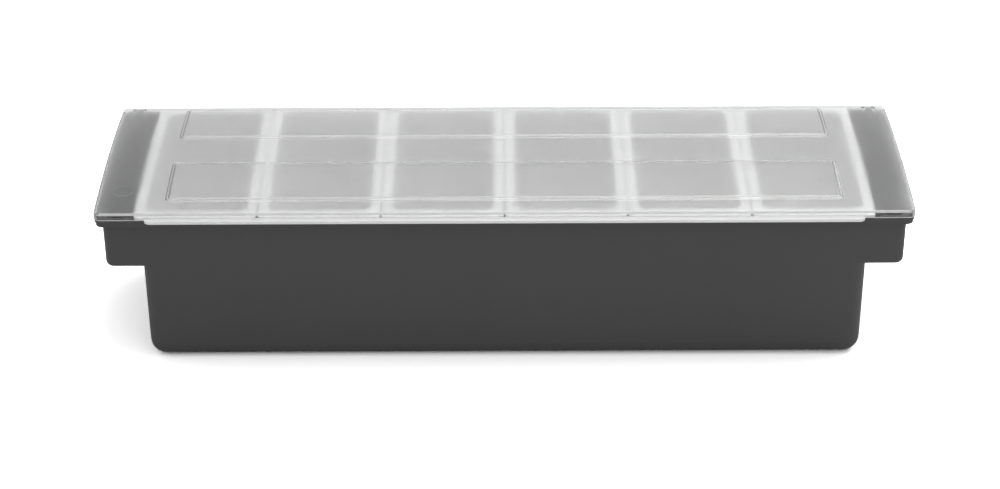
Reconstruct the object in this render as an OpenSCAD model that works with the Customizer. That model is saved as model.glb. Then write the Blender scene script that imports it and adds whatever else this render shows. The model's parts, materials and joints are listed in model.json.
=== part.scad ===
// Condiment caddy: a charcoal housing with six lift-out inserts under one frosted hinged lid.
// Millimetres. The caddy stands on Z = 0, its lip faces -Y, and the origin is at the
// middle of its box's base. Each sub-part is drawn about the middle of the housing's well.

/* [Inserts] */
// Width over one insert's flange
insert_w = 74.6; // [60:0.2:90]
// Depth over one insert's flange
insert_d = 155.4; // [130:0.2:180]
// Height of an insert, from its underside to its flange's top
insert_h = 80; // [50:1:84]
// Wall of an insert
insert_wall = 1.3; // [1:0.1:2]
// How far the flange stands out from the insert's body
flange_reach = 5.3; // [4:0.1:8]
// Thickness of the flange
flange_t = 2.2; // [1.5:0.1:3]
// Plan radius of the flange's corners
flange_r = 3; // [1:0.5:6]
// Upright corner radius of the insert's body
insert_corner_r = 7; // [3:0.5:12]
// Radius between the insert's walls and its base
insert_foot_r = 6; // [2:0.5:10]
// Taper of the insert's walls, in degrees
insert_draft = 1.5; // [0.5:0.1:2.5]
// Gap between neighbouring flanges
insert_gap = 0.4; // [0.2:0.1:1.5]

/* [Housing] */
// Height from the table to the rim's top
rim_z = 96.8; // [90:0.1:120]
// Wall of the housing
wall = 2.4; // [1.8:0.1:3]
// Thickness of the well's base
base_t = 2.6; // [2:0.1:4]
// Clearance between the inserts' bodies and the well's walls at the rim
well_clear = 0.7; // [0.4:0.1:3]
// Upright corner radius of the well
well_corner_r = 10; // [6:0.5:20]
// Radius between the well's walls and its base
well_foot_r = 10; // [4:0.5:10]
// Taper of the housing's walls, in degrees
draft = 1.2; // [0.5:0.1:2]
// Clear width of the pocket in each end shoulder
pocket_w = 19.8; // [18:0.1:40]
// Height of the shoulders' underside above the table
shoulder_z = 63.3; // [40:0.1:75]
// Upright corner radius of the shoulders
shoulder_corner_r = 5; // [3.5:0.5:9]
// Radius along the bottom of the shoulders
shoulder_foot_r = 4; // [2.5:0.5:5]
// How far the rim stands out from the front and end walls
rim_reach = 4.2; // [3:0.1:8]
// How far the rim stands out from the rear wall
rear_reach = 2.8; // [1.5:0.1:3]
// Thickness of the rim's top edge
rim_t = 1.3; // [1:0.1:2]
// Height of the band under the rim's top edge
band_h = 2.5; // [1:0.1:5]
// How far the band sits back from the rim's edge
band_inset = 0.8; // [0.2:0.1:1.4]
// Plan radius of the rim's corners
rim_corner_r = 6; // [4:0.5:12]

/* [Lid] */
// Thickness of the lid
lid_t = 2; // [1.5:0.1:3]
// Rise of the lid's top from its front and rear edges to the middle
crown = 3.6; // [1:0.1:10]
// Gap between the flanges and the lid at its edges
lid_gap = 1.5; // [1:0.1:4]
// Gap between the rim and the skirt
skirt_gap = 0.7; // [0.4:0.1:1.4]
// Thickness of the skirt
skirt_t = 1.8; // [1:0.1:2]
// Plan radius of the lid's corners
lid_corner_r = 4; // [2:0.5:6]
// Length of the front lip
lip_len = 439; // [60:1:440]
// Depth of the front lip
lip_d = 5.1; // [3:0.1:15]
// Thickness of the front lip
lip_t = 2; // [1:0.1:3]
// Plan radius of the lip's front corners
lip_r = 4; // [1:0.5:5]
// Height of the raised panels
panel_h = 1.2; // [0.5:0.1:2]
// Length of the raised panels
panel_len = 410; // [200:1:420]
// Depth of the front panel
front_panel_d = 52.5; // [30:0.5:60]
// Depth of the rear panel
rear_panel_d = 53.5; // [30:0.5:60]
// Distance from the lid's front face to the front panel
front_margin = 14.2; // [8:0.1:20]
// Distance from the rear panel to the lid's rear edge
rear_margin = 4.5; // [3:0.1:12]
// Plan radius of the panels' corners
panel_r = 3; // [1:0.5:8]

/* [Hinge] */
// Diameter of the hinge pins
pin_d = 3; // [2:0.1:4]
// Running clearance of the lugs on a pin, on the radius
pin_clear = 0.05; // [0.02:0.01:0.1]
// Depth of the hinge axis below the lid's underside
axis_drop = 4.5; // [4.2:0.1:6]
// How far the lid's rear edge lies behind the hinge axis
lid_tail = 4.5; // [4:0.1:5]
// Distance from the outer face of an end wall to the middle of its ear
ear_inset = 6.6; // [6.6:0.1:7.4]
// Thickness of an ear's plate
ear_t = 2; // [1.5:0.1:3]
// Width of the boss round the pin
boss_w = 3.6; // [3.2:0.1:3.8]
// Radius of the boss
boss_r = 3.9; // [3:0.1:3.9]
// Thickness of a lug
lug_t = 2.3; // [1.8:0.1:2.3]
// Radius of a lug round the pin
lug_r = 3.5; // [2.8:0.1:3.9]
// Width of a lug's neck
neck_w = 5; // [3:0.1:5]
// Side clearance between a lug and the housing
lug_gap = 0.3; // [0.2:0.05:0.4]
// Clearance below a lug in its notch
notch_clear = 0.8; // [0.4:0.1:2]
// Distance from the hinge axis to the wall across each pocket
hinge_box_d = 27; // [15:0.5:60]
// Thickness of the wall across each pocket
partition_t = 2; // [1.5:0.1:3]

/* [Hidden] */

insert_count = 6;
left = -1;
right = 1;
slice = 0.01;      // thickness of the discs that a hull is stretched over
over = 2;          // how far a cutting shape runs past what it cuts
arc_step = 15;     // degrees between the discs of a rounded foot
hull_fn = 32;
arc_fn = 256;
pin_chamfer = 0.3;

// Inserts
pitch = insert_w + insert_gap;
body_x = insert_w / 2 - flange_reach;
body_y = insert_d / 2 - flange_reach;
flange_z = rim_z + flange_t;

// Housing: half sizes of the walls' outer faces at the rim's height
well_x = (insert_count - 1) / 2 * pitch + body_x + well_clear + wall;
well_y = body_y + well_clear + wall;
shoulder_x = well_x + pocket_w + wall;
rim_x = shoulder_x + rim_reach;
rim_front = -well_y - rim_reach;
rim_rear = well_y + rear_reach;

// Hinge axis and lid
axis_y = well_y;
lid_x = rim_x;
lid_front = rim_front;
lid_rear = axis_y + lid_tail;
lid_half = (lid_rear - lid_front) / 2;
lid_mid = (lid_rear + lid_front) / 2;
lid_edge_z = flange_z + lid_gap + lid_t;
crown_r = (lid_half * lid_half + crown * crown) / (2 * crown);
crown_z = lid_edge_z + crown - crown_r;
function under_z(y) = crown_z + sqrt(pow(crown_r - lid_t, 2) - pow(y - lid_mid, 2));
axis_z = under_z(axis_y) - axis_drop;
skirt_z = rim_z + skirt_gap;
skirt_rear = axis_y - skirt_gap - skirt_t;
ear_x = shoulder_x - ear_inset;
lug_x = boss_w / 2 + lug_gap + lug_t / 2;
hinge_half = boss_w / 2 + 2 * lug_gap + lug_t;
pin_len = boss_w + 2 * lug_gap + 2 * lug_t;
middle_y = (lip_d - lid_rear - lid_front) / 2;

// A plate of a rounded rectangle, from corner [x0, y0] to corner [x1, y1]
module plate(x0, y0, x1, y1, r, z, h) {
    translate([x0, y0, z]) linear_extrude(h) union() {
        translate([r, 0]) square([x1 - x0 - 2 * r, y1 - y0]);
        translate([0, r]) square([x1 - x0, y1 - y0 - 2 * r]);
        for (x = [r, x1 - x0 - r], y = [r, y1 - y0 - r])
            translate([x, y]) circle(r, $fn = 64);
    }
}

// A tapered tub with rounded upright corners and a rounded foot, from z0 up to z1.
// Its half sizes x and y are those that it has at height z_ref.
module tub(x, y, z_ref, z0, z1, corner_r, foot_r, taper) {
    top_in = (z_ref - z1) * tan(taper);
    foot_in = (z_ref - z0 - foot_r) * tan(taper);
    hull() {
        for (sx = [-1, 1], sy = [-1, 1]) {
            translate([sx * (x - top_in - corner_r), sy * (y - top_in - corner_r), z1 - slice])
                cylinder(r = corner_r, h = slice, $fn = hull_fn);
            for (a = [0 : arc_step : 90])
                translate([sx * (x - foot_in - corner_r), sy * (y - foot_in - corner_r),
                           z0 + foot_r * (1 - cos(a))])
                    cylinder(r = max(corner_r - foot_r * (1 - sin(a)), slice), h = slice,
                             $fn = hull_fn);
        }
    }
}

// The space under the lid's top, or under its underside, between two half lengths
module under_crown(x, y0, y1, z0, r) {
    translate([-x, 0, 0]) rotate([90, 0, 90]) linear_extrude(2 * x) intersection() {
        translate([lid_mid, crown_z]) circle(r, $fn = arc_fn);
        translate([y0, z0]) square([y1 - y0, crown_z + crown_r + panel_h + over - z0]);
    }
}

module well_outside() {
    tub(well_x, well_y, rim_z, 0, rim_z, well_corner_r, well_foot_r, draft);
}

module housing_ear(side) {
    front_y = axis_y - hinge_box_d;
    translate([side * ear_x - ear_t / 2, 0, 0]) rotate([90, 0, 90]) linear_extrude(ear_t)
        polygon([[front_y, shoulder_z + wall / 2], [axis_y - wall / 2, shoulder_z + wall / 2],
                 [axis_y - wall / 2, axis_z], [axis_y, axis_z + boss_r],
                 [axis_y - boss_r, axis_z + boss_r / 2], [front_y, rim_z - wall]]);
    translate([side * ear_x - boss_w / 2, axis_y, axis_z]) rotate([0, 90, 0])
        cylinder(r = boss_r, h = boss_w, $fn = 64);
}

module housing() {
    color("#3f3f40") translate([0, middle_y, 0]) difference() {
        union() {
            difference() {
                union() {
                    plate(-rim_x, rim_front, rim_x, rim_rear, rim_corner_r, rim_z - rim_t, rim_t);
                    plate(-rim_x + band_inset, rim_front + band_inset, rim_x - band_inset,
                          rim_rear - band_inset, rim_corner_r - band_inset,
                          rim_z - rim_t - band_h, band_h);
                    tub(shoulder_x, well_y, rim_z, shoulder_z, rim_z,
                        shoulder_corner_r, shoulder_foot_r, draft);
                    well_outside();
                }
                difference() {
                    tub(shoulder_x - wall, well_y - wall, rim_z, shoulder_z + wall, rim_z + over,
                        shoulder_corner_r - wall, shoulder_foot_r - wall, draft);
                    well_outside();
                    for (side = [left, right])
                        translate([side * (shoulder_x + well_x) / 2 - shoulder_x + well_x,
                                   axis_y - hinge_box_d - partition_t, 0])
                            cube([2 * (shoulder_x - well_x), partition_t, rim_z]);
                }
                tub(well_x - wall, well_y - wall, rim_z, base_t, rim_z + over,
                    well_corner_r - wall, well_foot_r - wall, draft);
                for (side = [left, right])
                    translate([side * ear_x - hinge_half, well_y - wall - over,
                               axis_z - lug_r - notch_clear])
                        cube([2 * hinge_half, wall + rear_reach + 2 * over, rim_z]);
            }
            for (side = [left, right]) housing_ear(side);
        }
        for (side = [left, right])
            translate([side * ear_x - boss_w, axis_y, axis_z]) rotate([0, 90, 0])
                cylinder(d = pin_d, h = 2 * boss_w, $fn = 64);
    }
}

module lid_panels(inset, extra) {
    for (y0 = [lid_front + front_margin, lid_rear - rear_margin - rear_panel_d]) {
        depth = y0 < lid_mid - front_panel_d / 2 ? front_panel_d : rear_panel_d;
        intersection() {
            under_crown(lid_x, y0 - over, y0 + depth + over, lid_edge_z - lid_t - crown, crown_r + extra);
            plate(-panel_len / 2 + inset, y0 + inset, panel_len / 2 - inset, y0 + depth - inset,
                  panel_r, lid_edge_z - lid_t - crown, 2 * (crown + lid_t) + crown);
        }
    }
}

module lid_lug(x) {
    difference() {
        union() {
            translate([x - lug_t / 2, axis_y, axis_z]) rotate([0, 90, 0])
                cylinder(r = lug_r, h = lug_t, $fn = 64);
            translate([x - lug_t / 2, axis_y - neck_w / 2, axis_z])
                cube([lug_t, neck_w, axis_drop + lid_t / 2]);
        }
        translate([x - lug_t, axis_y, axis_z]) rotate([0, 90, 0])
            cylinder(r = pin_d / 2 + pin_clear, h = 2 * lug_t, $fn = 64);
    }
}

module lid() {
    color("#c9cbcc") translate([0, middle_y, 0]) {
        difference() {
            union() {
                intersection() {
                    under_crown(lid_x + over, lid_front - over, lid_rear + over,
                                skirt_z - over, crown_r);
                    plate(-lid_x, lid_front, lid_x, lid_rear, lid_corner_r, skirt_z, rim_z);
                }
                lid_panels(0, panel_h);
            }
            under_crown(lid_x - skirt_t, lid_front + skirt_t, lid_rear + over,
                        skirt_z - over, crown_r - lid_t);
            under_crown(lid_x + over, skirt_rear, lid_rear + over, skirt_z - over, crown_r - lid_t);
            lid_panels(lid_t / 2, panel_h - lid_t);
        }
        difference() {
            plate(-lip_len / 2, lid_front - lip_d, lip_len / 2, lid_front + skirt_t + lip_r,
                  lip_r, skirt_z, lip_t);
            translate([-lip_len, lid_front + skirt_t, skirt_z - over])
                cube([2 * lip_len, lip_r + over, lip_t + 2 * over]);
        }
        for (side = [left, right], x = [-lug_x, lug_x]) lid_lug(side * ear_x + x);
    }
}

module insert(number) {
    color("#f4f4f2") translate([(number - (insert_count + 1) / 2) * pitch, middle_y, 0])
        difference() {
            union() {
                plate(-insert_w / 2, -insert_d / 2, insert_w / 2, insert_d / 2, flange_r,
                      rim_z, flange_t);
                tub(body_x, body_y, flange_z, flange_z - insert_h, flange_z,
                    insert_corner_r, insert_foot_r, insert_draft);
            }
            tub(body_x - insert_wall, body_y - insert_wall, flange_z,
                flange_z - insert_h + insert_wall, flange_z + over,
                insert_corner_r - insert_wall, insert_foot_r - insert_wall, insert_draft);
        }
}

module hinge_pin(side) {
    r = pin_d / 2;
    color("#8e9194") translate([side * ear_x - pin_len / 2, middle_y + axis_y, axis_z])
        rotate([0, 90, 0]) rotate_extrude($fn = 64)
            polygon([[0, 0], [r - pin_chamfer, 0], [r, pin_chamfer], [r, pin_len - pin_chamfer],
                     [r - pin_chamfer, pin_len], [0, pin_len]]);
}

housing();
lid();
insert(1);  // insert_1
insert(2);  // insert_2
insert(3);  // insert_3
insert(4);  // insert_4
insert(5);  // insert_5
insert(6);  // insert_6
hinge_pin(left);  // hinge_pin_left
hinge_pin(right);  // hinge_pin_right
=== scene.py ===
"""Condiment caddy: its housing, frosted lid, inserts and hinge pins, and a plain studio.

The construction is loaded as a fixed frame, and every piece here is placed and sized from it.
"""

import json
import math

import bmesh
import bpy
from bpy.props import FloatProperty, FloatVectorProperty, PointerProperty
from mathutils import Matrix, Vector


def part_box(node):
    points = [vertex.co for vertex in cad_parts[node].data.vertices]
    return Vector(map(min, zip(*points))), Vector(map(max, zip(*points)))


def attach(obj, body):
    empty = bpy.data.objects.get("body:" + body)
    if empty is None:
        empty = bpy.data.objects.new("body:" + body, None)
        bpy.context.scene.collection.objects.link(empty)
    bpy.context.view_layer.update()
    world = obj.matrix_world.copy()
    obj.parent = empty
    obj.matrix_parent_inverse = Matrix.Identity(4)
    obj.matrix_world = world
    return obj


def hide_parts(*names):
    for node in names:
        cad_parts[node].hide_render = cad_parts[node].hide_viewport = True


bl_info = {
    "name": "Condiment Caddy",
    "version": (1, 0, 0),
    "blender": (4, 5, 0),
    "location": "View3D > Sidebar > Caddy",
    "description": "Dresses the construction of a condiment caddy and sets up a studio",
    "category": "Add Mesh",
}

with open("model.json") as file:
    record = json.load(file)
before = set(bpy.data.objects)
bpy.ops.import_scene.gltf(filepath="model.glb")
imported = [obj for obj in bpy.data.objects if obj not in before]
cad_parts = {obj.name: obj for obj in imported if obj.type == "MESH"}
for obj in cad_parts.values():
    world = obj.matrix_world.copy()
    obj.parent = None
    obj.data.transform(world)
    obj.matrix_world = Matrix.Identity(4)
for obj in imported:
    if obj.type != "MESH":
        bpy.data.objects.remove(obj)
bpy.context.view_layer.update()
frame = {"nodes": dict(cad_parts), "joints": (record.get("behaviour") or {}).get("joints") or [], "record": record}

MM = 0.001
SIDES = (-1, 1)
QUARTER = math.pi / 2
INSERT_NAMES = sorted(name for name in frame["nodes"] if name.startswith("insert_"))
PIN_NAMES = sorted(name for name in frame["nodes"] if name.startswith("hinge_pin_"))

# Places that the construction gives
HOUSING_LOW, HOUSING_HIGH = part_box("housing")
LID_LOW, LID_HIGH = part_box("lid")
INSERT_LOW, INSERT_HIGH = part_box("insert_1")
PIN_LOW, PIN_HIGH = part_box("hinge_pin_right")
HINGE = Vector(frame["joints"][0]["pos_m"])
SHOULDER_Z = min(m["pos_m"][2] for m in frame["record"]["mounts"] if "shoulder" in m["name"])
MIDDLE_Y = (INSERT_LOW.y + INSERT_HIGH.y) / 2
FLANGE_Z = INSERT_HIGH.z
WELL_Y = HINGE.y - MIDDLE_Y
EAR_X = (PIN_LOW.x + PIN_HIGH.x) / 2

# The centre of the mould's ring mark, on the left end of the lid
RING_X, RING_Y = -233.3 * MM, -49.3 * MM

OVER = 2 * MM  # how far a tool runs past what it cuts
SHARP = math.radians(35)  # edges that turn by more than this stay edges
LID_IOR = 1.43
MILKY_ROUGHNESS = (0.25, 0.27)
ROUGHNESS_SWING = 0.04  # of the moulded and satin plastics
POLISH_SWING = 0.02

# The studio, in metres, and the camera's sensor in millimetres
KEY_PLACE, KEY_SIZE = (0.38, 0.34, 1.2), (1.3, 1.0)
SIDE_PLACE, SIDE_SIZE = (1.15, 1.25, 0.85), (1.4, 0.9)
FLOOR_SIZE = 6.0
CLIP_START, CLIP_END = 0.01, 50.0
SENSOR_WIDTH = 36.0


# ---------------------------------------------------------------- sizes and colours


def length(label, note, default, high=100):
    """A size in metres, given here in millimetres."""
    return FloatProperty(
        name=label, description=note, default=default * MM, min=0.0, max=high * MM,
        unit="LENGTH", precision=4,
    )


def coordinate(label, note, default):
    """A place on an axis in metres, given here in millimetres."""
    return FloatProperty(name=label, description=note, default=default * MM, unit="LENGTH")


def degrees(label, note, default):
    """An angle, given here in degrees."""
    return FloatProperty(
        name=label, description=note, default=math.radians(default), subtype="ANGLE"
    )


def share(label, note, default, high=1.0):
    """A plain number from 0 to high."""
    return FloatProperty(name=label, description=note, default=default, min=0.0, max=high)


def colour(label, note, default):
    """A colour, in linear values."""
    return FloatVectorProperty(
        name=label, description=note, default=default, size=3, min=0.0, max=1.0, subtype="COLOR"
    )


class CaddyHousingSettings(bpy.types.PropertyGroup):
    wall: length("Wall", "Thickness of the walls", 2.4)
    base: length("Base", "Thickness of the well's base", 2.6)
    draft: degrees("Draft", "Taper of the walls", 1.2)
    well_clear: length("Well clearance", "Gap between the inserts and the well's walls", 0.7)
    well_corner: length("Well corner", "Radius of the well's upright corners", 10)
    well_foot: length("Well foot", "Radius along the bottom of the well", 10)
    shoulder_corner: length("Shoulder corner", "Radius of the shoulders' upright corners", 5)
    shoulder_foot: length("Shoulder foot", "Radius along the bottom of the shoulders", 4)
    rim_reach: length("Rim reach", "How far the rim stands out from the end walls", 4.2)
    rear_reach: length("Rear reach", "How far the rim stands out from the rear wall", 2.8)
    rim_edge: length("Rim edge", "Thickness of the rim's top edge", 1.3)
    rim_corner: length("Rim corner", "Radius of the rim's corners in plan", 6)
    band: length("Band", "Height of the band under the rim's top edge", 2.5)
    band_inset: length("Band inset", "How far the band sits back from the rim's edge", 0.8)
    box_depth: length("Hinge box", "Distance from the hinge axis to each pocket's cross wall", 27)
    partition: length("Partition", "Thickness of the wall across each pocket", 2)
    edge_round: length("Edge rounding", "Radius on the moulding's edges", 0.4)
    tone: colour("Colour", "Colour of the charcoal plastic", (0.08, 0.08, 0.081))
    gloss: share("Gloss", "How strongly the plastic reflects", 0.2)
    roughness: share("Roughness", "Mean roughness of the moulded texture", 0.5)
    grain: length("Grain", "Size of the moulded texture's grains", 0.5)


class CaddyLidSettings(bpy.types.PropertyGroup):
    sheet: length("Thickness", "Thickness of the lid", 2)
    gap: length("Gap", "Gap between the inserts' flanges and the lid at its edges", 1.5)
    crown: length("Crown", "Rise of the top from its edges to the middle", 3.6)
    skirt: length("Skirt", "Thickness of the skirt", 1.8)
    skirt_gap: length("Skirt gap", "Gap between the rim and the skirt", 0.7)
    corner: length("Corner", "Radius of the lid's corners in plan", 4)
    edge_round: length("Edge rounding", "Radius along the lid's top edge", 1.4)
    foot_round: length("Foot rounding", "Radius along the skirt's foot and the lip's edges", 0.8)
    lip_length: length("Lip length", "Length of the front lip", 436, high=500)
    lip_sheet: length("Lip thickness", "Thickness of the front lip", 2)
    lip_corner: length("Lip corner", "Radius of the lip's front corners in plan", 4)
    panel_length: length("Panel length", "Length of the raised panels", 414, high=500)
    front_panel: length("Front panel", "Depth of the front panel", 52.5)
    rear_panel: length("Rear panel", "Depth of the rear panel", 53.5)
    front_margin: length("Front margin", "Distance from the front face to the front panel", 14.2)
    rear_margin: length("Rear margin", "Distance from the rear panel to the rear edge", 4.5)
    panel_rise: length("Panel rise", "Height of the raised panels", 1.2)
    panel_border: length("Panel border", "Width of the border round each raised panel", 2.9)
    border_step: length("Border step", "Height of the small step at a border's outer edge", 0.4)
    border_rise: length("Border rise", "Rise of a border between its two steps", 0.15)
    step_lean: length("Step lean", "How far the face of a step leans in", 0.8)
    panel_edge: length("Panel edge", "Width of the flat edge on a panel, inside its border", 0.9)
    panel_corner: length("Panel corner", "Radius of the panels' corners", 4)
    ring: length("Ring", "Outer radius of the mould's ring mark", 6.5)
    ring_width: length("Ring width", "Width of the ring mark", 0.6)
    ring_rise: length("Ring rise", "Height of the ring mark", 0.12)
    tone: colour("Colour", "Colour of the frosted plastic", (0.972, 0.976, 0.98))
    # Painted shade: a near-black tone on the panels' side steps paints the dark lines where they fall into shade
    step_shade_tone: colour("Step colour", "Colour of the panels' side steps", (0.16, 0.16, 0.162))
    # Painted highlight: a milky grey finish makes the top edges and the panels' long steps show as bright lines
    painted_highlight_tone: colour("Pale colour", "Colour of the front edge and long steps", (0.78, 0.78, 0.78))
    # Painted shade: a darker tone on the rear edge and the end faces paints the shade seen through them
    edge_shade_tone: colour("Edge colour", "Colour of the rear edge and end faces", (0.6, 0.605, 0.61))
    lip_tone: colour("Lip colour", "Colour of the milky lip", (0.96, 0.96, 0.96))
    clarity: share("Clarity", "Share of light that passes into the plastic", 1.0)
    polish: share("Polish", "Roughness of the top and the edges", 0.13)
    frost_low: share("Frost, clear", "Roughness of the underside between its frosted grains", 0.5)
    frost_high: share("Frost, grained", "Roughness of the underside on its frosted grains", 0.85)
    frost_grain: length("Frost grain", "Size of the frosted grains", 0.3)
    lip_clarity: share("Lip clarity", "Share of light that passes into the milky lip", 0.35)


class CaddyInsertSettings(bpy.types.PropertyGroup):
    wall: length("Wall", "Thickness of an insert's walls", 1.3)
    flange_reach: length("Flange reach", "How far the flange stands out from the body", 5.3)
    flange: length("Flange", "Thickness of the flange", 2.2)
    flange_corner: length("Flange corner", "Radius of the flange's corners in plan", 3)
    corner: length("Corner", "Radius of the body's upright corners", 7)
    foot: length("Foot", "Radius along the bottom of the body", 6)
    draft: degrees("Draft", "Taper of the walls", 1.5)
    edge_round: length("Edge rounding", "Radius on the flange's edges", 0.7)
    mouth_round: length("Mouth rounding", "Radius from the flange into the body", 1.1)
    tone: colour("Colour", "Colour of the white plastic", (0.92, 0.92, 0.91))
    roughness: share("Roughness", "Mean roughness of the satin finish", 0.36)


class CaddyHingeSettings(bpy.types.PropertyGroup):
    ear: length("Ear", "Thickness of an ear's plate", 2)
    boss_width: length("Boss width", "Width of the boss round the pin", 3.6)
    boss: length("Boss radius", "Radius of the boss round the pin", 3.9)
    pin: length("Pin", "Diameter of the pins", 3)
    running_gap: length("Running gap", "Clearance of the lugs on a pin, on the radius", 0.05)
    lug: length("Lug", "Thickness of a lug", 2.3)
    lug_radius: length("Lug radius", "Radius of a lug round the pin", 3.5)
    neck: length("Neck", "Width of a lug's neck", 5)
    side_gap: length("Side gap", "Clearance between a lug and the housing", 0.3)
    notch_gap: length("Notch gap", "Clearance below a lug in its notch", 0.8)
    steel: colour("Steel", "Colour of the pins", (0.56, 0.57, 0.58))


class CaddyStudioSettings(bpy.types.PropertyGroup):
    focal: FloatProperty(
        name="Lens", description="Focal length in millimetres", default=100.0, min=20.0
    )
    camera_x: coordinate("Camera X", "Place of the camera along the row", -1.15)
    camera_y: coordinate("Camera Y", "Place of the camera in depth", -1587.3)
    camera_z: coordinate("Camera Z", "Height of the camera", 834.1)
    pitch: degrees("Pitch", "Angle below the horizon", 26.51)
    yaw: degrees("Yaw", "Turn of the camera to its left", 0.061)
    roll: degrees("Roll", "Clockwise turn of the camera", 0.26)
    dome: share("Dome", "Strength of the even light from all round", 0.62, high=3.0)
    floor_tone: share("Floor tone", "How much light the floor sends back", 0.8)
    floor_mirrored: share("Floor in glass", "Brightness of the floor in mirrors and glass", 0.88)
    floor_gain: share("Floor gain", "Brightness of the floor as the camera sees it", 2.4, high=4.0)
    key_power: share("Key lamp", "Power of the lamp above the caddy, in watts", 9.0, high=500.0)
    side_power: share("Side lamp", "Power of the lamp on the right, in watts", 7.0, high=500.0)


# ---------------------------------------------------------------- mesh tools


def settle(bm):
    """Puts a bmesh in one order, because some of its operators work in an order of their own."""
    def sort(parts, key):
        order = {part: rank for rank, part in enumerate(sorted(parts, key=key))}
        parts.sort(key=order.get)
        parts.index_update()

    sort(bm.verts, lambda vert: vert.co[:])
    for parts in (bm.edges, bm.faces):
        sort(parts, lambda part: sorted(vert.index for vert in part.verts))


def make_piece(name, bm):
    """A mesh object from a bmesh, at the origin, with its faces pointing outwards."""
    settle(bm)
    bmesh.ops.recalc_face_normals(bm, faces=bm.faces)
    mesh = bpy.data.meshes.new(name)
    bm.to_mesh(mesh)
    bm.free()
    piece = bpy.data.objects.new(name, mesh)
    bpy.context.scene.collection.objects.link(piece)
    return piece


def rounded_loft(name, rings, centre_y=MIDDLE_Y, centre_x=0.0, steps=8):
    """A closed solid skinned over rings: half width, half depth, corner radius and height."""
    bm = bmesh.new()
    side = bm.verts.layers.float_vector.new("side")
    turn = bm.verts.layers.float_vector.new("turn")
    count = 4 * (steps + 1)
    verts = bmesh.ops.create_circle(bm, cap_ends=True, segments=count, radius=1)["verts"]
    for index, vert in enumerate(verts):
        quarter, step = divmod(index, steps + 1)
        middle = QUARTER * (quarter + 0.5)
        angle = QUARTER * (quarter + step / steps)
        vert[side] = (math.copysign(1, math.cos(middle)), math.copysign(1, math.sin(middle)), 0)
        vert[turn] = (math.cos(angle), math.sin(angle), 0)
    edges = list(bm.edges)
    for number, (half_x, half_y, corner, height) in enumerate(rings):
        if number:
            grown = bmesh.ops.extrude_edge_only(bm, edges=edges)["geom"]
            verts = [part for part in grown if isinstance(part, bmesh.types.BMVert)]
            new = set(verts)
            edges = [
                part for part in grown
                if isinstance(part, bmesh.types.BMEdge) and new.issuperset(part.verts)
            ]
        for vert in verts:
            vert.co.x = centre_x + vert[side].x * (half_x - corner) + vert[turn].x * corner
            vert.co.y = centre_y + vert[side].y * (half_y - corner) + vert[turn].y * corner
            vert.co.z = height
    bmesh.ops.edgeloop_fill(bm, edges=edges)
    bm.verts.layers.float_vector.remove(side)
    bm.verts.layers.float_vector.remove(bm.verts.layers.float_vector["turn"])
    return make_piece(name, bm)


def tub_rings(half_x, half_y, corner, foot, base_z, top_z, level_z, draft, steps=8):
    """Rings of a drafted tub, from its rounded foot up. Its half sizes hold at level_z."""
    least = 0.05 * MM
    lean = (level_z - base_z - foot) * math.tan(draft)
    rings = []
    for step in range(steps + 1):
        angle = QUARTER * step / steps
        inward = foot * (1 - math.sin(angle))
        rings.append((
            half_x - lean - inward, half_y - lean - inward, max(corner - inward, least),
            base_z + foot * (1 - math.cos(angle)),
        ))
    lean = (level_z - top_z) * math.tan(draft)
    rings.append((half_x - lean, half_y - lean, corner, top_z))
    return rings


def box_piece(name, low, high):
    """A plain block between two corners, used as a tool."""
    bm = bmesh.new()
    low, high = Vector(low), Vector(high)
    stretch = Matrix.Diagonal((*(high - low), 1))
    bmesh.ops.create_cube(bm, size=1, matrix=Matrix.Translation((low + high) / 2) @ stretch)
    return make_piece(name, bm)


def rod_piece(name, centre, radius, width, segments=48):
    """A cylinder along X about a centre."""
    bm = bmesh.new()
    bmesh.ops.create_cone(
        bm, cap_ends=True, segments=segments, radius1=radius, radius2=radius, depth=width,
        matrix=Matrix.Translation(centre) @ Matrix.Rotation(QUARTER, 4, "Y"),
    )
    return make_piece(name, bm)


def plate_piece(name, x, width, outline):
    """A plate across X whose outline is given in Y and Z."""
    bm = bmesh.new()
    face = bm.faces.new([bm.verts.new((x - width / 2, y, z)) for y, z in outline])
    grown = bmesh.ops.extrude_face_region(bm, geom=[face])["geom"]
    verts = [part for part in grown if isinstance(part, bmesh.types.BMVert)]
    bmesh.ops.translate(bm, verts=verts, vec=(width, 0, 0))
    return make_piece(name, bm)


def carve(piece, tool, operation):
    """Unites a piece with a tool or cuts the tool out of it, and takes the tool away."""
    modifier = piece.modifiers.new("carve", "BOOLEAN")
    modifier.operation = operation
    modifier.solver = "EXACT"
    modifier.object = tool
    depsgraph = bpy.context.evaluated_depsgraph_get()
    mesh = bpy.data.meshes.new_from_object(piece.evaluated_get(depsgraph))
    piece.modifiers.clear()
    old, piece.data = piece.data, mesh
    bpy.data.meshes.remove(old)
    bpy.data.objects.remove(tool)


def tidy_mesh(piece, weld, flat=math.radians(0.4)):
    """Welds what lies closer than weld and joins the faces that lie in one plane."""
    bm = bmesh.new()
    bm.from_mesh(piece.data)
    bmesh.ops.remove_doubles(bm, verts=bm.verts, dist=weld)
    bmesh.ops.dissolve_limit(bm, angle_limit=flat, verts=bm.verts, edges=bm.edges)
    bmesh.ops.recalc_face_normals(bm, faces=bm.faces)
    bm.to_mesh(piece.data)
    bm.free()


def finish_edges(piece, radius, segments=3):
    """Rounds the sharp edges and shades the rest smoothly."""
    piece.data.shade_smooth()
    rounding = piece.modifiers.new("edge rounding", "BEVEL")
    rounding.width = radius
    rounding.segments = segments
    rounding.limit_method = "ANGLE"
    rounding.angle_limit = SHARP
    keep_shading(piece)


def keep_shading(piece):
    """Weighs the normals by the size of the faces, so that flat faces look flat."""
    shading = piece.modifiers.new("even shading", "WEIGHTED_NORMAL")
    shading.weight = 100
    shading.keep_sharp = True


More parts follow.
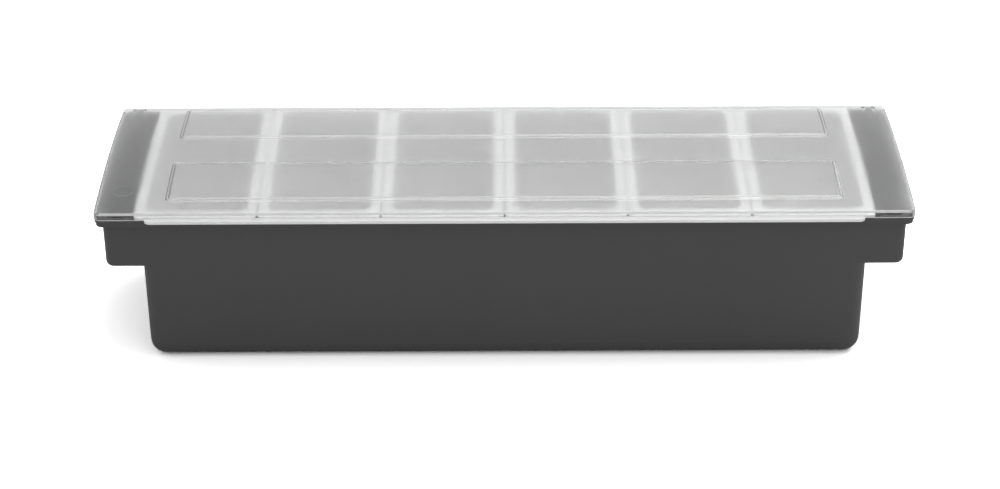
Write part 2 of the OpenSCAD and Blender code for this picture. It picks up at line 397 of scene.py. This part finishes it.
def dress(piece, materials, body, slot, *nodes):
    """Gives a finished piece its materials and its body, and hides the nodes that it stands for. Its slot is not
    used.
    """
    piece.data.materials.clear()
    for material in materials:
        piece.data.materials.append(material)
    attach(piece, body)
    if nodes:
        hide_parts(*nodes)


# ---------------------------------------------------------------- materials


def start_material(name):
    """A material with a Principled shader, its node tree and its object coordinates."""
    material = bpy.data.materials.new(name)
    material.use_nodes = True
    tree = material.node_tree
    shader = tree.nodes["Principled BSDF"]
    place = tree.nodes.new("ShaderNodeTexCoord").outputs["Object"]
    return material, tree, shader, place


def noise(tree, place, size, detail=2.0, stretch=(1, 1, 1)):
    """Noise with grains of about the given size in metres, drawn out by stretch."""
    mapping = tree.nodes.new("ShaderNodeMapping")
    mapping.inputs["Scale"].default_value = [1 / factor for factor in stretch]
    texture = tree.nodes.new("ShaderNodeTexNoise")
    texture.inputs["Scale"].default_value = 1 / size
    texture.inputs["Detail"].default_value = detail
    tree.links.new(place, mapping.inputs["Vector"])
    tree.links.new(mapping.outputs["Vector"], texture.inputs["Vector"])
    return texture.outputs["Fac"]


def spread(tree, source, low, high, reach=0.2):
    """Maps a noise, within reach of its middle, onto the range from low to high."""
    ramp = tree.nodes.new("ShaderNodeMapRange")
    ramp.inputs["From Min"].default_value = 0.5 - reach
    ramp.inputs["From Max"].default_value = 0.5 + reach
    ramp.inputs["To Min"].default_value = low
    ramp.inputs["To Max"].default_value = high
    tree.links.new(source, ramp.inputs["Value"])
    return ramp.outputs["Result"]


def tint(tree, source, tone, swing):
    """A colour that swings about tone with a noise."""
    blend = tree.nodes.new("ShaderNodeMix")
    blend.data_type = "RGBA"
    blend.inputs["A"].default_value = (*(value * (1 - swing) for value in tone), 1)
    blend.inputs["B"].default_value = (*(min(1, value * (1 + swing)) for value in tone), 1)
    tree.links.new(source, blend.inputs["Factor"])
    return blend.outputs["Result"]


def emboss(tree, source, depth, strength=1.0):
    """A bump from a noise, with its depth in metres."""
    bump = tree.nodes.new("ShaderNodeBump")
    bump.inputs["Strength"].default_value = strength
    bump.inputs["Distance"].default_value = depth
    tree.links.new(source, bump.inputs["Height"])
    return bump.outputs["Normal"]


def about(value, swing):
    """The range within swing of a value."""
    return value - swing, value + swing


def show(tree, shader, base, roughness, normal):
    """Links a colour, a roughness and a bump to the shader."""
    for name, source in (("Base Color", base), ("Roughness", roughness), ("Normal", normal)):
        tree.links.new(source, shader.inputs[name])


def charcoal_plastic(settings):
    """Matte moulded plastic: fine grain, slight clouding, and a worn sheen here and there."""
    material, tree, shader, place = start_material("charcoal_plastic")
    clouds = noise(tree, place, 60 * MM, detail=4.0)
    grain = noise(tree, place, settings.grain, detail=3.0)
    show(
        tree, shader, tint(tree, clouds, settings.tone, swing=0.06),
        spread(tree, clouds, *about(settings.roughness, ROUGHNESS_SWING)),
        emboss(tree, grain, depth=0.03 * MM, strength=0.6),
    )
    shader.inputs["Specular IOR Level"].default_value = settings.gloss
    return material


def lid_plastic(name, tone, clarity, roughness_range, grain, depth):
    """See-through plastic with a grained or polished face."""
    material, tree, shader, place = start_material(name)
    grains = noise(tree, place, grain)
    haze = noise(tree, place, 35 * MM, detail=3.0)
    show(
        tree, shader, tint(tree, haze, tone, swing=0.01),
        spread(tree, grains, *roughness_range, reach=0.04),
        emboss(tree, grains, depth, strength=0.5),
    )
    shader.inputs["Transmission Weight"].default_value = clarity
    shader.inputs["IOR"].default_value = LID_IOR
    return material


def lid_plastics(s):
    """The lid's finishes, in the order in which share_finishes counts them."""
    fine = 0.8 * MM
    polished = (s.clarity, about(s.polish, POLISH_SWING), fine, 0.003 * MM)
    frosted = (s.clarity, (s.frost_low, s.frost_high), s.frost_grain, 0.008 * MM)
    milky = (s.lip_clarity, MILKY_ROUGHNESS, fine, 0.0005 * MM)
    return (
        lid_plastic("polished_plastic", s.tone, *polished),
        lid_plastic("frosted_plastic", s.tone, *frosted),
        lid_plastic("milky_plastic", s.lip_tone, *milky),
        # Painted shade: a near-black copy for the panels' side steps
        lid_plastic("side_step_shade_plastic", s.step_shade_tone, *polished),
        # Painted highlight: a milky copy for the top edges and the panels' long steps
        lid_plastic("painted_highlight_plastic", s.painted_highlight_tone, *milky),
        # Painted shade: a darker copy for the rear edge and the end faces
        lid_plastic("edge_shade_plastic", s.edge_shade_tone, *frosted),
    )


def white_plastic(settings):
    """Satin white plastic with faint flow clouds."""
    material, tree, shader, place = start_material("white_plastic")
    clouds = noise(tree, place, 28 * MM, detail=3.0)
    satin = noise(tree, place, 0.8 * MM)
    show(
        tree, shader, tint(tree, clouds, settings.tone, swing=0.012),
        spread(tree, clouds, *about(settings.roughness, ROUGHNESS_SWING)),
        emboss(tree, satin, depth=0.01 * MM, strength=0.5),
    )
    return material


def drawn_steel(settings):
    """Drawn steel wire with fine lines along its length."""
    material, tree, shader, place = start_material("drawn_steel")
    lines = noise(tree, place, 0.12 * MM, detail=3.0, stretch=(40, 1, 1))
    show(
        tree, shader, tint(tree, lines, settings.steel, swing=0.08),
        spread(tree, lines, low=0.22, high=0.4),
        emboss(tree, lines, depth=0.004 * MM, strength=0.5),
    )
    shader.inputs["Metallic"].default_value = 1
    return material


# ---------------------------------------------------------------- housing


def housing_body(scene):
    """The shell: a deep drafted well between two hollow shoulders, under one rim."""
    s, insert, hinge = scene.caddy_housing, scene.caddy_insert, scene.caddy_hinge
    rim_z = FLANGE_Z - insert.flange
    under_edge = rim_z - s.rim_edge
    well_x = -INSERT_LOW.x - insert.flange_reach + s.well_clear + s.wall
    well_y = WELL_Y
    shoulder_x = HOUSING_HIGH.x - s.rim_reach

    def well(name, top_z):
        return rounded_loft(name, tub_rings(
            well_x, well_y, s.well_corner, s.well_foot, 0.0, top_z, rim_z, s.draft))

    body = well("housing_shell", rim_z - s.rim_edge / 2)
    proud = 0.002 * MM  # keeps the shoulders' faces off the well's
    carve(body, rounded_loft("shoulders", tub_rings(
        shoulder_x, well_y + proud, s.shoulder_corner, s.shoulder_foot, SHOULDER_Z,
        rim_z - s.rim_edge / 3, rim_z, s.draft)), "UNION")

    rim_front, rim_rear = HOUSING_LOW.y, MIDDLE_Y + WELL_Y + s.rear_reach
    rim_y, rim_middle = (rim_rear - rim_front) / 2, (rim_rear + rim_front) / 2
    inset = s.band_inset
    band = (HOUSING_HIGH.x - inset, rim_y - inset, s.rim_corner - inset)
    edge = (HOUSING_HIGH.x, rim_y, s.rim_corner)
    carve(body, rounded_loft("rim", [
        (*band, under_edge - s.band), (*band, under_edge), (*edge, under_edge), (*edge, rim_z),
    ], rim_middle), "UNION")

    pockets = rounded_loft("pockets", tub_rings(
        shoulder_x - s.wall, well_y - s.wall, s.shoulder_corner - s.wall,
        s.shoulder_foot - s.wall, SHOULDER_Z + s.wall, rim_z + OVER, rim_z, s.draft))
    carve(pockets, well("well_wall", rim_z + 2 * OVER), "DIFFERENCE")
    wall_y = HINGE.y - s.box_depth
    carve(pockets, box_piece(
        "partition", (-shoulder_x, wall_y - s.partition, 0), (shoulder_x, wall_y, rim_z + 2 * OVER)
    ), "DIFFERENCE")
    carve(body, pockets, "DIFFERENCE")
    carve(body, rounded_loft("well_inside", tub_rings(
        well_x - s.wall, well_y - s.wall, s.well_corner - s.wall, s.well_foot - s.wall,
        s.base, rim_z + OVER, rim_z, s.draft)), "DIFFERENCE")

    half = hinge.boss_width / 2 + 2 * hinge.side_gap + hinge.lug
    notch_z = HINGE.z - hinge.lug_radius - hinge.notch_gap
    for x in [side * EAR_X for side in SIDES]:
        carve(body, box_piece(
            "notch", (x - half, HINGE.y - s.wall - OVER, notch_z),
            (x + half, HINGE.y + s.rear_reach + OVER, rim_z + OVER),
        ), "DIFFERENCE")
        carve(body, housing_ear(scene, x, wall_y, rim_z), "UNION")
        bore = rod_piece("bore", (x, HINGE.y, HINGE.z), hinge.pin / 2, 2 * half)
        carve(body, bore, "DIFFERENCE")
    tidy_mesh(body, weld=0.01 * MM)
    finish_edges(body, s.edge_round)
    return body


def housing_ear(scene, x, wall_y, rim_z):
    """The upright plate and boss that hold a hinge pin."""
    s, hinge = scene.caddy_housing, scene.caddy_hinge
    rear = HINGE.y - s.wall / 2
    foot = SHOULDER_Z + s.wall / 2
    inside = 0.98 * hinge.boss  # the plate's top corner stays inside the boss
    ear = plate_piece("ear", x, hinge.ear, [
        (wall_y, foot), (rear, foot), (rear, HINGE.z), (HINGE.y, HINGE.z + inside),
        (HINGE.y - hinge.boss, HINGE.z + hinge.boss / 2), (wall_y, rim_z - s.wall),
    ])
    carve(ear, rod_piece("boss", (x, HINGE.y, HINGE.z), hinge.boss, hinge.boss_width), "UNION")
    return ear


class CADDY_OT_housing(bpy.types.Operator):
    """Build the charcoal housing with its well, shoulders, rim and hinge ears"""

    bl_idname = "caddy.housing"
    bl_label = "Housing"

    def execute(self, context):
        scene = context.scene
        body = housing_body(scene)
        dress(body, [charcoal_plastic(scene.caddy_housing)], "housing", "housing", "housing")
        return {"FINISHED"}


# ---------------------------------------------------------------- inserts


def insert_rings(scene):
    """Rings of one insert: up its outside, round its flange and down its inside."""
    s = scene.caddy_insert
    half_x = (INSERT_HIGH.x - INSERT_LOW.x) / 2
    half_y = (INSERT_HIGH.y - INSERT_LOW.y) / 2
    body_x, body_y = half_x - s.flange_reach, half_y - s.flange_reach
    under = FLANGE_Z - s.flange
    steps = 4
    rings = tub_rings(
        body_x, body_y, s.corner, s.foot, INSERT_LOW.z, under - s.mouth_round, FLANGE_Z, s.draft)
    quarter = [QUARTER * step / steps for step in range(1, steps + 1)]
    for angle in quarter:
        out = s.mouth_round * (1 - math.cos(angle))
        rings.append((
            body_x + out, body_y + out, s.corner + out,
            under - s.mouth_round * (1 - math.sin(angle)),
        ))
    r = s.edge_round
    for middle_z, turn in ((under + r, -QUARTER), (FLANGE_Z - r, 0)):
        for angle in (0.0, *quarter):
            inward = r * (1 - math.cos(turn + angle))
            rings.append((
                half_x - inward, half_y - inward, s.flange_corner - inward,
                middle_z + r * math.sin(turn + angle),
            ))
    inner_x, inner_y, inner_corner = body_x - s.wall, body_y - s.wall, s.corner - s.wall
    for angle in (0.0, *quarter):
        out = s.mouth_round * (1 - math.sin(angle))
        rings.append((
            inner_x + out, inner_y + out, inner_corner + out,
            FLANGE_Z - s.mouth_round * (1 - math.cos(angle)),
        ))
    inside = tub_rings(
        inner_x, inner_y, inner_corner, s.foot - s.wall, INSERT_LOW.z + s.wall,
        FLANGE_Z - s.mouth_round, FLANGE_Z, s.draft)
    return rings + inside[-2::-1]


class CADDY_OT_inserts(bpy.types.Operator):
    """Build the white lift-out inserts, one for each place in the row"""

    bl_idname = "caddy.inserts"
    bl_label = "Inserts"

    def execute(self, context):
        scene = context.scene
        material = white_plastic(scene.caddy_insert)
        rings = insert_rings(scene)
        for name in INSERT_NAMES:
            low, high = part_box(name)
            tub_name = name.replace("insert", "insert_tub")
            tub = rounded_loft(tub_name, rings, centre_x=(low.x + high.x) / 2)
            tub.data.shade_smooth()
            keep_shading(tub)
            dress(tub, [material], "housing", "insert", name)
        return {"FINISHED"}


# ---------------------------------------------------------------- lid


def crown_rise(scene, y):
    """How far the crowned top stands above its front and rear edges at y."""
    rise = scene.caddy_lid.crown
    half = (LID_HIGH.y - HOUSING_LOW.y) / 2
    middle = (LID_HIGH.y + HOUSING_LOW.y) / 2
    radius = (half**2 + rise**2) / (2 * rise)
    return max(0.0, math.sqrt(radius**2 - (y - middle) ** 2) - radius + rise)


def fillet(points, radii, steps=3):
    """A line through points whose inner corners are rounded, each by its own radius."""
    line = [Vector(point) for point in points]
    rounded = [line[0]]
    for before, corner, after, radius in zip(line, line[1:], line[2:], radii):
        reach = min(radius, (before - corner).length / 2, (after - corner).length / 2)
        start = corner + (before - corner).normalized() * reach
        end = corner + (after - corner).normalized() * reach
        for step in range(steps + 1):
            along = step / steps
            rounded.append(start.lerp(corner, along).lerp(corner.lerp(end, along), along))
    return [*rounded, line[-1]]


def profile_rings(half_x, half_y, corner, base_z, profile):
    """Rings that follow a profile of distances inward and heights."""
    least = 0.3 * MM
    return [
        (half_x - inward, half_y - inward, max(corner - inward, least), base_z + height)
        for inward, height in profile
    ]


def panel_profile(s):
    """A raised panel's border: a small step, a gentle strip and the step up to the panel."""
    below, soft = 0.3 * MM, 0.35 * MM
    strip = s.border_step + s.border_rise
    inner = s.panel_border - s.step_lean
    return fillet([
        (-s.step_lean / 2, -below), (s.step_lean, s.border_step), (inner, strip),
        (s.panel_border, s.panel_rise), (s.panel_border + s.panel_edge, s.panel_rise),
    ], [soft] * 3)


def underside_profile(s):
    """The plain slope that lifts a panel's underside with its top."""
    past = 0.4 * MM
    return [
        (s.sheet / 2 - past * s.panel_border / s.panel_rise, -past),
        (s.sheet / 2 + s.panel_border, s.panel_rise),
    ]


def bend_to_crown(scene, piece, edge_z, panels, spacing=4 * MM):
    """Cuts the flat lid into strips and lifts its top onto the crown. The skirt's foot stays flat.

    Further cuts just outside the panels keep their borders' shading off the flat faces.
    """
    s = scene.caddy_lid
    bm = bmesh.new()
    bm.from_mesh(piece.data)
    beside = 0.5 * MM
    snap = 0.005 * MM
    depth = LID_HIGH.y - HOUSING_LOW.y
    strips = math.ceil(depth / spacing)
    lines = [HOUSING_LOW.y + depth * number / strips for number in range(1, strips)]
    lines += [y + side * (half + beside) for y, half in panels for side in SIDES]
    cuts = [((0, y, 0), (0, 1, 0)) for y in lines]
    cuts += [((side * (s.panel_length / 2 + beside), 0, 0), (1, 0, 0)) for side in SIDES]
    for place, direction in cuts:
        bmesh.ops.bisect_plane(
            bm, geom=[*bm.verts, *bm.edges, *bm.faces], dist=snap,
            plane_co=place, plane_no=direction,
        )
    foot_z = min(vert.co.z for vert in bm.verts)
    for vert in bm.verts:
        follow = min(1, max(0, (vert.co.z - foot_z) / (edge_z - s.sheet - foot_z)))
        vert.co.z += crown_rise(scene, vert.co.y) * follow
    bm.to_mesh(piece.data)
    bm.free()


def share_finishes(scene, lid):
    """Picks each face's finish, in the order of lid_plastics."""
    polished, frosted, milky, shaded_side_step, pale, end = range(6)
    steep, leaning, slight = 0.5, 0.3, 0.2  # parts of a face's normal along an axis
    hair = 0.01 * MM
    s = scene.caddy_lid
    foot_z = FLANGE_Z - scene.caddy_insert.flange + s.skirt_gap
    top_z = FLANGE_Z + s.gap + s.sheet
    line_y = HOUSING_LOW.y + s.front_margin + s.front_panel - s.panel_border
    for face in lid.data.polygons:
        centre, normal = face.center, face.normal
        on_panel = abs(centre.x) < s.panel_length / 2 - s.panel_border and centre.z > top_z
        finish = polished
        if centre.y < HOUSING_LOW.y - hair or centre.z < foot_z + s.foot_round:
            finish = milky
        # Painted shade: the underside behind the hinge, the end faces and the rear faces behind the hinge take the
        # darker copy
        elif normal.z < -steep and centre.z > foot_z + s.sheet / 2:
            finish = end if centre.y > HINGE.y else frosted
        elif abs(centre.x) > LID_HIGH.x - s.corner:
            finish = end if abs(normal.x) > leaning else polished
        elif normal.y > steep and centre.y > HINGE.y:
            finish = end
        # Painted highlight: the rounded top edges, the long steps and the front panel's rear border take the milky
        # copy
        elif abs(normal.y) > leaning and centre.z > top_z - s.edge_round:
            finish = pale
        elif on_panel and line_y - s.panel_edge < centre.y < line_y + s.panel_edge / 2:
            finish = pale
        # Painted shade: the panels' steep side steps take the near-black copy
        elif abs(normal.x) > slight and centre.z > top_z:
            finish = shaded_side_step
        face.material_index = finish


def disc_piece(name, x, y, radius, low, high):
    """An upright disc between two heights."""
    bm = bmesh.new()
    bmesh.ops.create_cone(
        bm, cap_ends=True, segments=64, radius1=radius, radius2=radius, depth=high - low,
        matrix=Matrix.Translation((x, y, (low + high) / 2)),
    )
    return make_piece(name, bm)


def lid_lug(scene, x):
    """One lug: a ring round the pin on a straight neck up into the lid."""
    s, hinge = scene.caddy_lid, scene.caddy_hinge
    radius, half_neck = hinge.lug_radius, hinge.neck / 2
    top_z = FLANGE_Z + s.gap + s.sheet / 2
    start = math.acos(half_neck / radius)
    steps = 24
    outline = [(HINGE.y + half_neck, top_z), (HINGE.y - half_neck, top_z)]
    for step in range(steps + 1):
        angle = math.pi - start + (math.pi + 2 * start) * step / steps
        outline.append((HINGE.y + radius * math.cos(angle), HINGE.z + radius * math.sin(angle)))
    lug = plate_piece("lug", x, hinge.lug, outline)
    carve(lug, rod_piece(
        "lug_bore", (x, HINGE.y, HINGE.z), hinge.pin / 2 + hinge.running_gap, 2 * hinge.lug
    ), "DIFFERENCE")
    return lug


def lid_body(scene):
    """The lid, built flat from its skirt, lip and panels, then bent to its crown."""
    s, insert, hinge = scene.caddy_lid, scene.caddy_insert, scene.caddy_hinge
    rim_z = FLANGE_Z - insert.flange
    foot_z = rim_z + s.skirt_gap
    top_z = FLANGE_Z + s.gap + s.sheet
    front, rear = HOUSING_LOW.y, LID_HIGH.y
    half_y, middle_y = (rear - front) / 2, (rear + front) / 2
    half_x = LID_HIGH.x

    height = top_z - foot_z
    edge = fillet([
        (2 * s.foot_round, 0), (0, 0), (0, height), (2 * s.edge_round, height),
    ], [s.foot_round, s.edge_round], steps=5)
    rings = profile_rings(half_x, half_y, s.corner, foot_z, edge)
    lid = rounded_loft("frosted_lid", rings, middle_y)

    lip_front = LID_LOW.y
    lip_y = (front + OVER - lip_front) / 2 + s.lip_corner
    edge = fillet([
        (s.skirt / 2, 0), (0, 0), (0, s.lip_sheet), (s.skirt / 2, s.lip_sheet),
    ], [s.foot_round] * 2)
    rings = profile_rings(s.lip_length / 2, lip_y, s.lip_corner, foot_z, edge)
    carve(lid, rounded_loft("lip", rings, lip_front + lip_y), "UNION")

    panels = (
        (front + s.front_margin + s.front_panel / 2, s.front_panel / 2),
        (rear - s.rear_margin - s.rear_panel / 2, s.rear_panel / 2),
    )

    def add_panels(piece, name, base_z, profile):
        for panel_y, half in panels:
            rings = profile_rings(s.panel_length / 2, half, s.panel_corner, base_z, profile)
            carve(piece, rounded_loft(name, rings, panel_y), "UNION")

    add_panels(lid, "panel", top_z, panel_profile(s))
    ring = [
        disc_piece("ring", RING_X, RING_Y, radius, top_z - s.ring_width, top_z + rise)
        for radius, rise in ((s.ring, s.ring_rise), (s.ring - s.ring_width, OVER))
    ]
    carve(ring[0], ring[1], "DIFFERENCE")
    carve(lid, ring[0], "UNION")

    under_z = top_z - s.sheet
    hollow = box_piece(
        "hollow", (-half_x + s.skirt, front + s.skirt, foot_z - OVER),
        (half_x - s.skirt, rear + OVER, under_z))
    skirt_rear = HINGE.y - s.skirt_gap - s.skirt
    carve(hollow, box_piece(
        "behind", (-half_x - OVER, skirt_rear, foot_z - OVER),
        (half_x + OVER, rear + OVER, under_z),
    ), "UNION")
    add_panels(hollow, "panel_under", under_z, underside_profile(s))
    carve(lid, hollow, "DIFFERENCE")
    tidy_mesh(lid, weld=0.005 * MM)
    bend_to_crown(scene, lid, top_z, panels)

    spacing = hinge.boss_width / 2 + hinge.side_gap + hinge.lug / 2
    for x in [side * EAR_X + offset * spacing for side in SIDES for offset in SIDES]:
        carve(lid, lid_lug(scene, x), "UNION")
    lid.data.shade_smooth()
    lid.data.set_sharp_from_angle(angle=SHARP)
    keep_shading(lid)
    return lid


class CADDY_OT_lid(bpy.types.Operator):
    """Build the frosted lid with its crown, raised panels, skirt, lip and hinge lugs"""

    bl_idname = "caddy.lid"
    bl_label = "Lid"

    def execute(self, context):
        scene = context.scene
        lid = lid_body(scene)
        dress(lid, lid_plastics(scene.caddy_lid), "lid", "lid", "lid")
        share_finishes(scene, lid)
        return {"FINISHED"}


# ---------------------------------------------------------------- hinge pins


class CADDY_OT_pins(bpy.types.Operator):
    """Give the two hinge pins their drawn steel"""

    bl_idname = "caddy.pins"
    bl_label = "Hinge pins"

    def execute(self, context):
        material = drawn_steel(context.scene.caddy_hinge)
        for name in PIN_NAMES:
            pin = frame["nodes"][name]
            pin.data.materials.clear()
            pin.data.materials.append(material)
        return {"FINISHED"}


# ---------------------------------------------------------------- studio


def seen_by(tree, *kinds):
    """1 for rays of the given kinds, and 0 for all others."""
    path = tree.nodes.new("ShaderNodeLightPath")
    total = path.outputs[kinds[0]]
    for kind in kinds[1:]:
        either = tree.nodes.new("ShaderNodeMath")
        either.operation = "MAXIMUM"
        tree.links.new(total, either.inputs[0])
        tree.links.new(path.outputs[kind], either.inputs[1])
        total = either.outputs["Value"]
    return total


def mix_by(tree, factor, first, second):
    """Shows the first shader where factor is 0 and the second where it is 1."""
    mix = tree.nodes.new("ShaderNodeMixShader")
    tree.links.new(factor, mix.inputs[0])
    tree.links.new(first, mix.inputs[1])
    tree.links.new(second, mix.inputs[2])
    return mix.outputs[0]


def studio_world(settings):
    """An even dome of light, which the camera, mirrors and glass see as white."""
    world = bpy.data.worlds.new("studio")
    world.use_nodes = True
    tree = world.node_tree
    tree.nodes.clear()
    output = tree.nodes.new("ShaderNodeOutputWorld")
    dome = tree.nodes.new("ShaderNodeBackground")
    dome.inputs["Strength"].default_value = settings.dome
    white = tree.nodes.new("ShaderNodeBackground")
    for shader in (dome, white):
        shader.inputs["Color"].default_value = (1, 1, 1, 1)
    direct = seen_by(tree, "Is Camera Ray", "Is Glossy Ray", "Is Transmission Ray")
    seen = mix_by(tree, direct, dome.outputs[0], white.outputs[0])
    tree.links.new(seen, output.inputs["Surface"])
    return world


def white_floor(settings):
    """A pale floor that shows white, with the caddy's shadow on it.

    It has one tone for the light it sends back, one in mirrors and glass, one for the camera.
    """
    material = bpy.data.materials.new("white_floor")
    material.use_nodes = True
    tree = material.node_tree
    tree.nodes.clear()
    output = tree.nodes.new("ShaderNodeOutputMaterial")
    shaders = []
    for tone in (settings.floor_tone, settings.floor_mirrored, settings.floor_gain):
        shader = tree.nodes.new("ShaderNodeBsdfDiffuse")
        shader.inputs["Color"].default_value = (tone, tone, tone, 1)
        shaders.append(shader.outputs[0])
    lit, mirrored, shown = shaders
    seen = mix_by(tree, seen_by(tree, "Is Glossy Ray", "Is Transmission Ray"), lit, mirrored)
    seen = mix_by(tree, seen_by(tree, "Is Camera Ray"), seen, shown)
    tree.links.new(seen, output.inputs["Surface"])
    return material


def add_lamp(name, place, target, size, power):
    """A wide soft lamp that faces a target."""
    lamp = bpy.data.lights.new(name, "AREA")
    lamp.shape = "RECTANGLE"
    lamp.size, lamp.size_y = size
    lamp.energy = power
    holder = bpy.data.objects.new(name, lamp)
    holder.location = place
    holder.rotation_euler = (Vector(target) - Vector(place)).to_track_quat("-Z", "Y").to_euler()
    bpy.context.scene.collection.objects.link(holder)


def add_camera(settings):
    """The camera, at the height and angle of a product photograph."""
    data = bpy.data.cameras.new("camera")
    data.lens = settings.focal
    data.sensor_width = SENSOR_WIDTH
    data.clip_start, data.clip_end = CLIP_START, CLIP_END
    camera = bpy.data.objects.new("camera", data)
    camera.matrix_world = (
        Matrix.Translation((settings.camera_x, settings.camera_y, settings.camera_z))
        @ Matrix.Rotation(settings.yaw, 4, "Z")
        @ Matrix.Rotation(QUARTER - settings.pitch, 4, "X")
        @ Matrix.Rotation(-settings.roll, 4, "Z")
    )
    bpy.context.scene.collection.objects.link(camera)
    bpy.context.scene.camera = camera


class CADDY_OT_studio(bpy.types.Operator):
    """Set up the white floor, the soft lamps, the world and the camera"""

    bl_idname = "caddy.studio"
    bl_label = "Studio"

    def execute(self, context):
        scene = context.scene
        s = scene.caddy_studio
        scene.view_settings.view_transform = "Standard"
        scene.world = studio_world(s)
        bm = bmesh.new()
        bmesh.ops.create_grid(bm, x_segments=1, y_segments=1, size=FLOOR_SIZE)
        floor = make_piece("floor", bm)
        floor.data.materials.append(white_floor(s))
        target = (0, MIDDLE_Y, FLANGE_Z)
        add_lamp("key_lamp", KEY_PLACE, target, KEY_SIZE, s.key_power)
        add_lamp("side_lamp", SIDE_PLACE, target, SIDE_SIZE, s.side_power)
        add_camera(s)
        return {"FINISHED"}


# ---------------------------------------------------------------- panel and registration


class CADDY_PT_panel(bpy.types.Panel):
    """Lists the caddy's pieces and their sizes"""

    bl_idname = "CADDY_PT_panel"
    bl_label = "Condiment Caddy"
    bl_space_type = "VIEW_3D"
    bl_region_type = "UI"
    bl_category = "Caddy"

    def draw(self, context):
        for operator, group in STEPS:
            self.layout.operator(operator.bl_idname)
            if group:
                settings = getattr(context.scene, group)
                for name in settings.bl_rna.properties.keys():
                    if name not in ("rna_type", "name"):
                        self.layout.prop(settings, name)


STEPS = (
    (CADDY_OT_housing, "caddy_housing"),
    (CADDY_OT_inserts, "caddy_insert"),
    (CADDY_OT_lid, "caddy_lid"),
    (CADDY_OT_pins, "caddy_hinge"),
    (CADDY_OT_studio, "caddy_studio"),
)
GROUPS = {
    "caddy_housing": CaddyHousingSettings,
    "caddy_insert": CaddyInsertSettings,
    "caddy_lid": CaddyLidSettings,
    "caddy_hinge": CaddyHingeSettings,
    "caddy_studio": CaddyStudioSettings,
}


def register():
    for name, group in GROUPS.items():
        bpy.utils.register_class(group)
        setattr(bpy.types.Scene, name, PointerProperty(type=group))
    for operator, _ in STEPS:
        bpy.utils.register_class(operator)
    bpy.utils.register_class(CADDY_PT_panel)


def unregister():
    bpy.utils.unregister_class(CADDY_PT_panel)
    for operator, _ in reversed(STEPS):
        bpy.utils.unregister_class(operator)
    for name, group in GROUPS.items():
        delattr(bpy.types.Scene, name)
        bpy.utils.unregister_class(group)


def main():
    register()
    bpy.ops.caddy.housing()
    bpy.ops.caddy.inserts()
    bpy.ops.caddy.lid()
    bpy.ops.caddy.pins()
    bpy.ops.caddy.studio()


if __name__ == "__main__":
    main()
